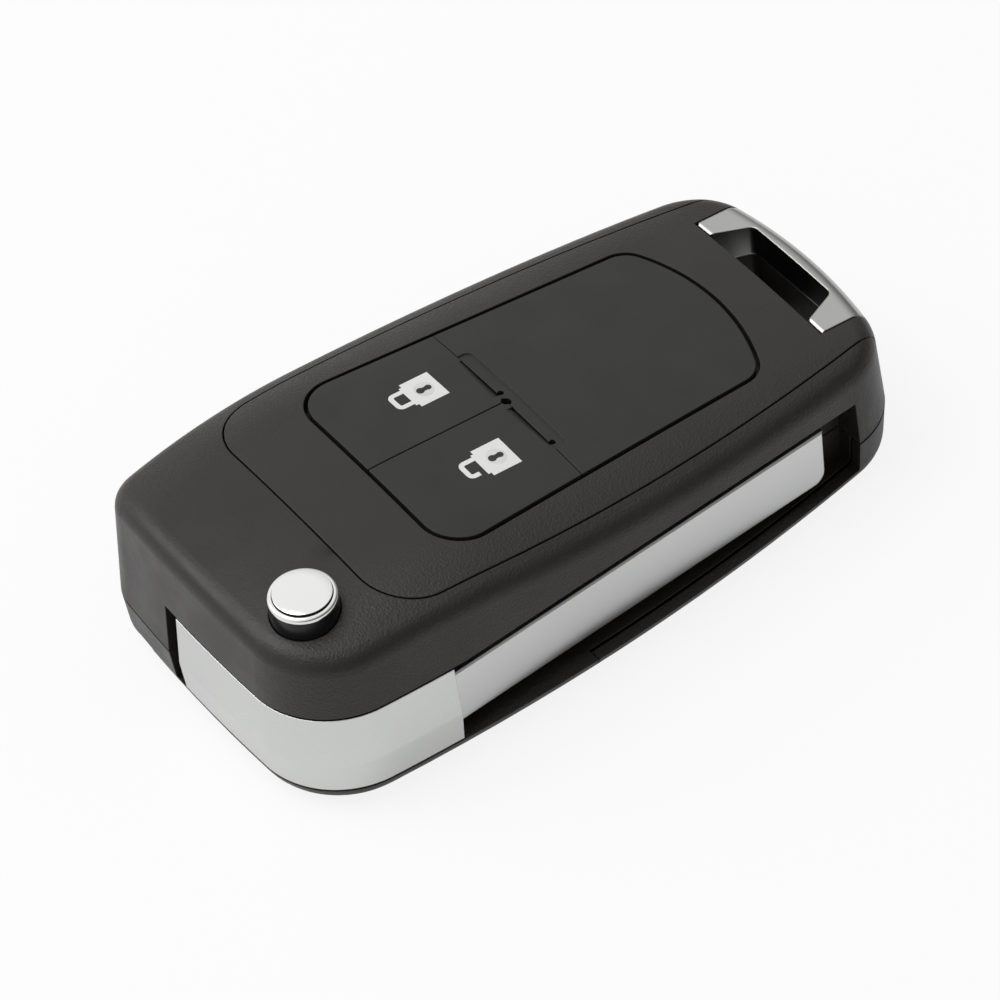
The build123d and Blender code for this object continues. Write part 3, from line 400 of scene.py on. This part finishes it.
def flat_face(mesh, x_from, x_to, y_from, y_to):
    corners = [mesh.verts.new((x, y, 0)) for x, y in
               ((x_from, y_from), (x_to, y_from), (x_to, y_to), (x_from, y_to))]
    return mesh.faces.new(corners)


def surface_of(*nodes):
    """Search tree of CAD nodes, for laying print on them."""
    mesh = bmesh.new()
    for node in nodes:
        mesh.from_mesh(NODES[node].data)
    tree = BVHTree.FromBMesh(mesh)
    mesh.free()
    return tree


def lay_on(mesh, tree, height):
    """Drop a flat mesh onto the surface below it and give it a thin body."""
    bmesh.ops.triangulate(mesh, faces=mesh.faces)
    bmesh.ops.subdivide_edges(mesh, edges=mesh.edges, cuts=2, use_grid_fill=True)
    for vert in mesh.verts:
        spot = tree.ray_cast(Vector((vert.co.x, vert.co.y, PRINT_RAY_FROM)),
                             Vector((0, 0, -1)))[0]
        if spot is None:
            raise RuntimeError("print lies off its button")
        vert.co.z = spot.z + height
    lower = bmesh.ops.extrude_face_region(mesh, geom=mesh.faces[:])["geom"]
    bmesh.ops.translate(mesh, vec=(0, 0, -INK_SUNK * height),
                        verts=[item for item in lower if isinstance(item, bmesh.types.BMVert)])


class FLIPKEY_OT_housing(bpy.types.Operator):
    """Give the shells and the battery cover their grained plastic"""
    bl_idname = "flipkey.housing"
    bl_label = "Housing"

    def execute(self, context):
        finishes, sizes = context.scene.flipkey_finishes, context.scene.flipkey_sizes
        grained = moulded("grained_plastic", finishes.case, roughness=GRAIN_ROUGHNESS,
                          grain=GRAIN_SCALE, depth=GRAIN_DEPTH, edge=sizes.edge_round,
                          gloss=DARK_PLASTIC_GLOSS, seam=sizes.seam_line,
                          flat_half=sizes.flat_half)
        for node in ("upper_case", "rear_case", "battery_cover"):
            paint(node, grained)
        return {"FINISHED"}


class FLIPKEY_OT_panel(bpy.types.Operator):
    """Give the panel its grained plastic, and the buttons and the blank field a smooth one"""
    bl_idname = "flipkey.panel"
    bl_label = "Panel and buttons"

    def execute(self, context):
        finishes, sizes = context.scene.flipkey_finishes, context.scene.flipkey_sizes
        grained = moulded("panel_plastic", finishes.panel, roughness=GRAIN_ROUGHNESS,
                          grain=GRAIN_SCALE, depth=GRAIN_DEPTH, edge=sizes.edge_round,
                          gloss=DARK_PLASTIC_GLOSS, flat_half=sizes.flat_half)
        paint("button_panel", grained)
        smooth = moulded("button_plastic", finishes.buttons, roughness=0.48, grain=5200,
                         depth=0.008 * MM, edge=sizes.edge_round, gloss=DARK_PLASTIC_GLOSS)
        for node in ("lock_button", "unlock_button", "blank_field"):
            paint(node, smooth)
        return {"FINISHED"}


class FLIPKEY_OT_padlocks(bpy.types.Operator):
    """Print the closed and the open padlock on the buttons"""
    bl_idname = "flipkey.padlocks"
    bl_label = "Padlocks"

    def execute(self, context):
        finishes, sizes = context.scene.flipkey_finishes, context.scene.flipkey_sizes
        ink = moulded("silver_ink", finishes.print, roughness=0.42, grain=INK_GRAIN,
                      depth=INK_GRAIN_DEPTH, spread=0.03)
        shade = moulded("shaded_ink", finishes.print_shade, roughness=0.42,
                        grain=INK_GRAIN, depth=INK_GRAIN_DEPTH, spread=0.12)
        dark = moulded("keyhole_ink", finishes.keyhole, roughness=0.50, grain=INK_GRAIN,
                       depth=INK_GRAIN_DEPTH)
        self.padlock(sizes, "lock", sizes.lock_y, True, ink, shade, dark)
        self.padlock(sizes, "unlock", sizes.unlock_y, False, ink, shade, dark)
        return {"FINISHED"}

    def printed(self, mesh, tree, sizes, name, ink, body, layer=1):
        """Lay a flat outline on a button; upper layers stand a little higher."""
        lay_on(mesh, tree, sizes.print_height * (1 + INK_LAYER * (layer - 1)))
        finish_piece(mesh, body + name, ink, body)

    def padlock(self, sizes, body, middle_y, closed, ink, shade, dark):
        tree = surface_of(body + "_button")
        long, wide = sizes.lock_body
        x_near, x_far = sizes.lock_x - long / 2, sizes.lock_x + long / 2
        width, band = sizes.shackle_width, sizes.shackle_band
        shoulder = x_near - sizes.body_shoulder
        mesh = bmesh.new()
        flat_face(mesh, x_near, x_far, middle_y - wide / 2, middle_y + wide / 2)
        flat_face(mesh, shoulder, x_near, middle_y - width / 2 - band / 2,
                  middle_y + width / 2 + band / 2)
        self.printed(mesh, tree, sizes, "_print_body", ink, body)
        self.printed(self.shackle(sizes, shoulder, x_near, middle_y, closed), tree, sizes,
                     "_print_shackle", ink, body)
        mesh = bmesh.new()
        self.disc(mesh, sizes.shade_radius, sizes.lock_x, middle_y)
        self.printed(mesh, tree, sizes, "_print_shade", shade, body, 2)
        mesh = bmesh.new()
        large_x = sizes.lock_x - sizes.keyhole_apart / 2
        small_x = large_x + sizes.keyhole_apart
        waist = sizes.keyhole_small * KEYHOLE_WAIST
        self.disc(mesh, sizes.keyhole_radius, large_x, middle_y)
        self.disc(mesh, sizes.keyhole_small, small_x, middle_y)
        flat_face(mesh, large_x, small_x, middle_y - waist, middle_y + waist)
        self.printed(mesh, tree, sizes, "_print_keyhole", dark, body, 3)

    def disc(self, mesh, radius, x, y):
        bmesh.ops.create_circle(mesh, cap_ends=True, radius=radius, segments=40,
                                matrix=Matrix.Translation((x, y, 0)))

    def shackle(self, sizes, shoulder, x_near, middle, closed):
        """Square-cornered bow of even width; the open one ends in a short hook."""
        width, band = sizes.shackle_width, sizes.shackle_band
        tip = x_near - sizes.shackle_reach + (sizes.shackle_shut if closed else 0)
        mesh = bmesh.new()
        loop = flat_face(mesh, tip, x_near + 2 * band, middle - width / 2,
                         middle + width / 2)
        corners = [v for v in loop.verts if v.co.x < x_near]
        bmesh.ops.bevel(mesh, geom=corners, offset=BOW_CORNER * band, offset_type="OFFSET",
                        segments=5, profile=0.5, affect="VERTICES", material=-1)
        bmesh.ops.inset_region(mesh, faces=mesh.faces[:], thickness=band,
                               use_boundary=True, use_even_offset=True)
        bmesh.ops.delete(mesh, geom=[max(mesh.faces, key=lambda f: len(f.verts))],
                         context="FACES")
        bmesh.ops.bisect_plane(mesh, geom=mesh.verts[:] + mesh.edges[:] + mesh.faces[:],
                               plane_co=(shoulder, 0, 0), plane_no=(1, 0, 0),
                               clear_outer=True)
        if not closed:
            stop = x_near - sizes.shackle_reach * HOOK_REACH
            bmesh.ops.bisect_plane(mesh,
                                   geom=mesh.verts[:] + mesh.edges[:] + mesh.faces[:],
                                   plane_co=(stop, 0, 0), plane_no=(1, 0, 0))
            spare = [f for f in mesh.faces if f.calc_center_median().x > stop
                     and f.calc_center_median().y < middle]
            bmesh.ops.delete(mesh, geom=spare, context="FACES")
        return mesh


class FLIPKEY_OT_bright_parts(bpy.types.Operator):
    """Plate the ring bar, the corner collar and the release button"""
    bl_idname = "flipkey.bright_parts"
    bl_label = "Bright parts"

    def execute(self, context):
        finishes, sizes = context.scene.flipkey_finishes, context.scene.flipkey_sizes
        paint("key_ring_bar", plated("bar_plating", finishes.bar, roughness=0.20,
                                     edge=sizes.bar_round))
        paint("hub_trim", plated("collar_plating", finishes.collar, roughness=0.28,
                                 edge=sizes.collar_round))
        # Near-black plastic that paints the reflection on the release button's sides and the
        # shade in its groove.
        painted_reflection_and_shade = moulded("painted_reflection_and_shade_plastic", finishes.painted_reflection_and_shade, roughness=0.22, grain=2600,
                        depth=0.002 * MM, gloss=0.3)
        bright = plated("button_plating", finishes.bright, roughness=0.10)
        self.release_button(sizes, bright, painted_reflection_and_shade)
        return {"FINISHED"}

    def release_button(self, sizes, plating, painted_reflection_and_shade):
        """Lathe the cap with a rounded rim, a fine groove and a faintly domed disc."""
        low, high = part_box("release_button")
        axis_x, axis_y = (low.x + high.x) / 2, (low.y + high.y) / 2
        radius, top = (high.x - low.x) / 2, high.z
        disc = radius - sizes.rim_width
        rim_top = top - sizes.rim_drop
        groove = rim_top - sizes.rim_groove
        profile = [
            (radius - CAP_WALL, low.z), (radius, low.z), (radius, rim_top - CAP_LIP),
            (radius, rim_top),
            (disc + RIM_GAP, rim_top), (disc + RIM_FOOT, groove),
            (disc + DISC_FOOT, groove), (disc + DISC_SHOULDER, top - DISC_SHOULDER_DROP),
            (disc + DISC_FLAT, top - DISC_FLAT_DROP), (disc * 0.5, top), (0.0, top),
        ]
        mesh = bmesh.new()
        verts = [mesh.verts.new((r, 0, z)) for r, z in profile]
        for pair in zip(verts, verts[1:]):
            mesh.edges.new(pair)
        bmesh.ops.bevel(mesh, geom=[verts[3]], offset=RIM_ROUND, offset_type="OFFSET",
                        segments=8, profile=0.5, affect="VERTICES", material=-1)
        bmesh.ops.spin(mesh, geom=mesh.verts[:] + mesh.edges[:], cent=(0, 0, 0),
                       axis=(0, 0, 1), angle=math.tau, steps=sizes.turns, use_merge=True)
        bmesh.ops.remove_doubles(mesh, verts=mesh.verts, dist=MERGE_WITHIN)
        rings = [e for e in mesh.edges if e.is_boundary]
        bmesh.ops.holes_fill(mesh, edges=rings, sides=0)
        # Faces low on the side and round the disc's edge take the second material: a painted
        # dark reflection and a painted shade.
        for face in mesh.faces:
            middle = face.calc_center_median()
            groove_shade = disc + GROOVE_SHADE_FROM < middle.xy.length < disc + GROOVE_SHADE_TO
            if middle.z < rim_top - sizes.painted_reflection_top or groove_shade:
                face.material_index = 1
        bmesh.ops.translate(mesh, verts=mesh.verts, vec=(axis_x, axis_y, 0))
        piece = finish_piece(mesh, "release_cap", plating, "release",
                             SMOOTH_ANGLE)
        piece.data.materials.append(painted_reflection_and_shade)
        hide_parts("release_button")


class FLIPKEY_OT_blade(bpy.types.Operator):
    """Finish the blade, its pin, the hub, the shaft and the spring"""
    bl_idname = "flipkey.blade"
    bl_label = "Blade and flip mechanism"

    def execute(self, context):
        finishes, sizes = context.scene.flipkey_finishes, context.scene.flipkey_sizes
        paint("key_blade", plated("satin_nickel", finishes.blade, roughness=0.30,
                                  edge=sizes.collar_round, brush=0.10))
        steel = plated("spring_wire", finishes.blade, roughness=0.35)
        paint("blade_pin", steel)
        paint("flip_spring", steel)
        inner = moulded("hub_plastic", finishes.inner, roughness=0.50, grain=3000,
                        depth=0.01 * MM, edge=sizes.edge_round)
        paint("blade_hub", inner)
        paint("release_shaft", inner)
        return {"FINISHED"}


class FLIPKEY_OT_electronics(bpy.types.Operator):
    """Finish the board, its pieces, the cell and the frame inside"""
    bl_idname = "flipkey.electronics"
    bl_label = "Electronics"

    def execute(self, context):
        finishes = context.scene.flipkey_finishes
        inner = moulded("frame_plastic", finishes.inner, roughness=0.55, grain=2600,
                        depth=0.012 * MM)
        for node in ("board_frame", "lock_switch", "unlock_switch", "controller_chip",
                     "transponder"):
            paint(node, inner)
        paint("circuit_board", self.board(finishes.board, finishes.copper))
        pale = moulded("plunger_plastic", finishes.print, roughness=0.45, grain=3000,
                       depth=0.006 * MM)
        paint("lock_plunger", pale)
        paint("unlock_plunger", pale)
        paint("battery", plated("cell_can", finishes.collar, roughness=0.25))
        paint("crystal", plated("crystal_can", finishes.collar, roughness=0.20))
        contact = plated("contact_spring", CONTACT_COLOUR, roughness=0.25)
        paint("negative_contact", contact)
        paint("positive_contact", contact)
        paint("antenna_coil", self.winding(finishes.copper))
        return {"FINISHED"}

    def board(self, resist, copper):
        """Solder resist with raised copper tracks under it."""
        material, shader, place = new_material("solder_resist")
        cells = add(material, "ShaderNodeTexVoronoi", feature="DISTANCE_TO_EDGE",
                    Scale=420.0)
        track = add(material, "ShaderNodeMath", operation="LESS_THAN")
        track.inputs[1].default_value = 0.06
        ramp = add(material, "ShaderNodeValToRGB")
        ramp.color_ramp.elements[0].color = resist
        ramp.color_ramp.elements[1].color = (*(0.6 * Vector(resist[:3])
                                               + 0.1 * Vector(copper[:3])), 1)
        join(material, place, cells.inputs["Vector"])
        join(material, cells.outputs["Distance"], track.inputs[0])
        join(material, track.outputs[0], ramp.inputs["Fac"])
        join(material, ramp.outputs["Color"], shader.inputs["Base Color"])
        join(material, vary(material, place, 400, 0.25, 0.4), shader.inputs["Roughness"])
        rounded_bump(material, shader, track.outputs[0], 0.03 * MM, 0.5, 0.0)
        return material

    def winding(self, copper):
        """Turns of fine wire side by side along Y."""
        material, shader, place = new_material("enamelled_wire")
        turns = add(material, "ShaderNodeTexWave", bands_direction="Y", Scale=1500.0)
        # Painted shade and highlight: the colour is dark between the turns and light on them,
        # as light falls on round wire.
        ramp = add(material, "ShaderNodeValToRGB")
        base = Vector(copper[:3])
        ramp.color_ramp.elements[0].color = (*(base * 0.45), 1)
        ramp.color_ramp.elements[1].color = (*(base * 1.15), 1)
        join(material, place, turns.inputs["Vector"])
        join(material, turns.outputs["Fac"], ramp.inputs["Fac"])
        join(material, ramp.outputs["Color"], shader.inputs["Base Color"])
        shader.inputs["Metallic"].default_value = WIRE_METALLIC
        join(material, vary(material, place, 500, 0.25, 0.4), shader.inputs["Roughness"])
        rounded_bump(material, shader, turns.outputs["Fac"], 0.05 * MM, 0.8, 0.0)
        return material


class FLIPKEY_OT_stage(bpy.types.Operator):
    """Set up the floor, the lamps, the surroundings and the camera"""
    bl_idname = "flipkey.stage"
    bl_label = "Stage"

    def execute(self, context):
        scene, stage = context.scene, context.scene.flipkey_stage
        scene.view_settings.view_transform = "Standard"
        self.floor(scene, stage)
        self.lamp(scene, "key_lamp", stage.key_power, KEY_LAMP_SIZE, KEY_LAMP_PLACE)
        self.lamp(scene, "side_lamp", stage.side_power, SIDE_LAMP_SIZE, SIDE_LAMP_PLACE)
        self.surroundings(scene, stage)
        self.camera(scene, stage)
        return {"FINISHED"}

    def floor(self, scene, stage):
        mesh = bmesh.new()
        bmesh.ops.create_grid(mesh, x_segments=4, y_segments=4, size=stage.floor_size / 2)
        data = bpy.data.meshes.new("studio_floor")
        mesh.to_mesh(data)
        mesh.free()
        floor = bpy.data.objects.new("studio_floor", data)
        scene.collection.objects.link(floor)
        material = bpy.data.materials.new("studio_floor")
        material.use_nodes = True
        nodes = material.node_tree.nodes
        shader = nodes["Principled BSDF"]
        shader.inputs["Base Color"].default_value = scene.flipkey_finishes.floor
        shader.inputs["Roughness"].default_value = 0.8
        shader.inputs["Specular IOR Level"].default_value = 0.0
        glow = add(material, "ShaderNodeEmission")
        glow.inputs["Strength"].default_value = 1.0
        path = add(material, "ShaderNodeLightPath")
        share = add(material, "ShaderNodeMath", operation="MULTIPLY")
        share.inputs[1].default_value = FLOOR_GLOW
        mirrored = add(material, "ShaderNodeMath", operation="MAXIMUM")
        mirror_share = add(material, "ShaderNodeMath", operation="MULTIPLY_ADD")
        mirror_share.inputs[1].default_value = FLOOR_MIRROR_GLOW
        join(material, path.outputs["Is Glossy Ray"], mirrored.inputs[0])
        join(material, path.outputs["Is Transmission Ray"], mirrored.inputs[1])
        join(material, mirrored.outputs[0], mirror_share.inputs[0])
        join(material, share.outputs[0], mirror_share.inputs[2])
        mixed = add(material, "ShaderNodeMixShader")
        join(material, path.outputs["Is Camera Ray"], share.inputs[0])
        join(material, mirror_share.outputs[0], mixed.inputs["Fac"])
        join(material, shader.outputs[0], mixed.inputs[1])
        join(material, glow.outputs[0], mixed.inputs[2])
        join(material, mixed.outputs[0], nodes["Material Output"].inputs["Surface"])
        data.materials.append(material)

    def lamp(self, scene, name, power, size, place):
        data = bpy.data.lights.new(name, "AREA")
        data.shape = "DISK"
        data.size = size
        data.energy = power
        lamp = bpy.data.objects.new(name, data)
        lamp.location = place
        lamp.rotation_euler = (-Vector(place)).to_track_quat("-Z", "Y").to_euler()
        scene.collection.objects.link(lamp)

    def surroundings(self, scene, stage):
        world = bpy.data.worlds.new("studio")
        world.use_nodes = True
        scene.world = world
        path = add(world, "ShaderNodeLightPath")
        place = add(world, "ShaderNodeTexCoord")
        facing = add(world, "ShaderNodeVectorMath", operation="DOT_PRODUCT")
        facing.inputs[1].default_value = Vector(stage.bright_side).normalized()
        walls = add(world, "ShaderNodeMapRange", interpolation_type="SMOOTHSTEP")
        walls.inputs["From Min"].default_value = WALL_DARK_TO
        walls.inputs["From Max"].default_value = WALL_BRIGHT_FROM
        walls.inputs["To Min"].default_value = stage.wall_low
        walls.inputs["To Max"].default_value = 1.0
        join(world, place.outputs["Generated"], facing.inputs[0])
        join(world, facing.outputs["Value"], walls.inputs["Value"])
        mirrored = add(world, "ShaderNodeMath", operation="MAXIMUM")
        join(world, path.outputs["Is Glossy Ray"], mirrored.inputs[0])
        join(world, path.outputs["Is Transmission Ray"], mirrored.inputs[1])
        soft = add(world, "ShaderNodeMix")
        soft.inputs["A"].default_value = stage.ambient
        join(world, mirrored.outputs[0], soft.inputs["Factor"])
        join(world, walls.outputs["Result"], soft.inputs["B"])
        seen = add(world, "ShaderNodeMix")
        seen.inputs["B"].default_value = 1.0
        join(world, path.outputs["Is Camera Ray"], seen.inputs["Factor"])
        join(world, soft.outputs["Result"], seen.inputs["A"])
        background = world.node_tree.nodes["Background"]
        background.inputs["Color"].default_value = (1, 1, 1, 1)
        join(world, seen.outputs["Result"], background.inputs["Strength"])

    def camera(self, scene, stage):
        data = bpy.data.cameras.new("camera")
        data.lens = stage.lens
        data.sensor_width = SENSOR_WIDTH
        camera = bpy.data.objects.new("camera", data)
        scene.collection.objects.link(camera)
        azimuth, elevation = stage.azimuth, stage.elevation
        back = Vector((math.sin(azimuth) * math.cos(elevation),
                       -math.cos(azimuth) * math.cos(elevation), math.sin(elevation)))
        right = Vector((math.cos(azimuth), math.sin(azimuth), 0))
        up = back.cross(right)
        turned_right = math.cos(stage.roll) * right + math.sin(stage.roll) * up
        turned_up = back.cross(turned_right)
        turn = Matrix((turned_right, turned_up, back)).transposed()
        camera.matrix_world = Matrix.Translation(stage.place) @ turn.to_4x4()
        scene.camera = camera


class FLIPKEY_PT_panel(bpy.types.Panel):
    """Lists the key's pieces and the stage"""
    bl_idname = "FLIPKEY_PT_panel"
    bl_label = "Flip Key Remote"
    bl_space_type = "VIEW_3D"
    bl_region_type = "UI"
    bl_category = "Flip Key"

    def draw(self, context):
        for operator in OPERATORS:
            self.layout.operator(operator.bl_idname)
        for group in ("flipkey_finishes", "flipkey_sizes", "flipkey_stage"):
            box = self.layout.box()
            values = getattr(context.scene, group)
            for name in values.bl_rna.properties.keys():
                if name not in ("rna_type", "name"):
                    box.prop(values, name)


OPERATORS = (
    FLIPKEY_OT_housing, FLIPKEY_OT_panel, FLIPKEY_OT_padlocks, FLIPKEY_OT_bright_parts,
    FLIPKEY_OT_blade, FLIPKEY_OT_electronics, FLIPKEY_OT_stage,
)
CLASSES = (FlipKeyFinishes, FlipKeySizes, FlipKeyStage, *OPERATORS, FLIPKEY_PT_panel)


def register():
    for item in CLASSES:
        bpy.utils.register_class(item)
    bpy.types.Scene.flipkey_finishes = PointerProperty(type=FlipKeyFinishes)
    bpy.types.Scene.flipkey_sizes = PointerProperty(type=FlipKeySizes)
    bpy.types.Scene.flipkey_stage = PointerProperty(type=FlipKeyStage)


def unregister():
    del bpy.types.Scene.flipkey_stage
    del bpy.types.Scene.flipkey_sizes
    del bpy.types.Scene.flipkey_finishes
    for item in reversed(CLASSES):
        bpy.utils.unregister_class(item)


def main():
    register()
    for operator in OPERATORS:
        group, name = operator.bl_idname.split(".")
        getattr(getattr(bpy.ops, group), name)()


if __name__ == "__main__":
    main()
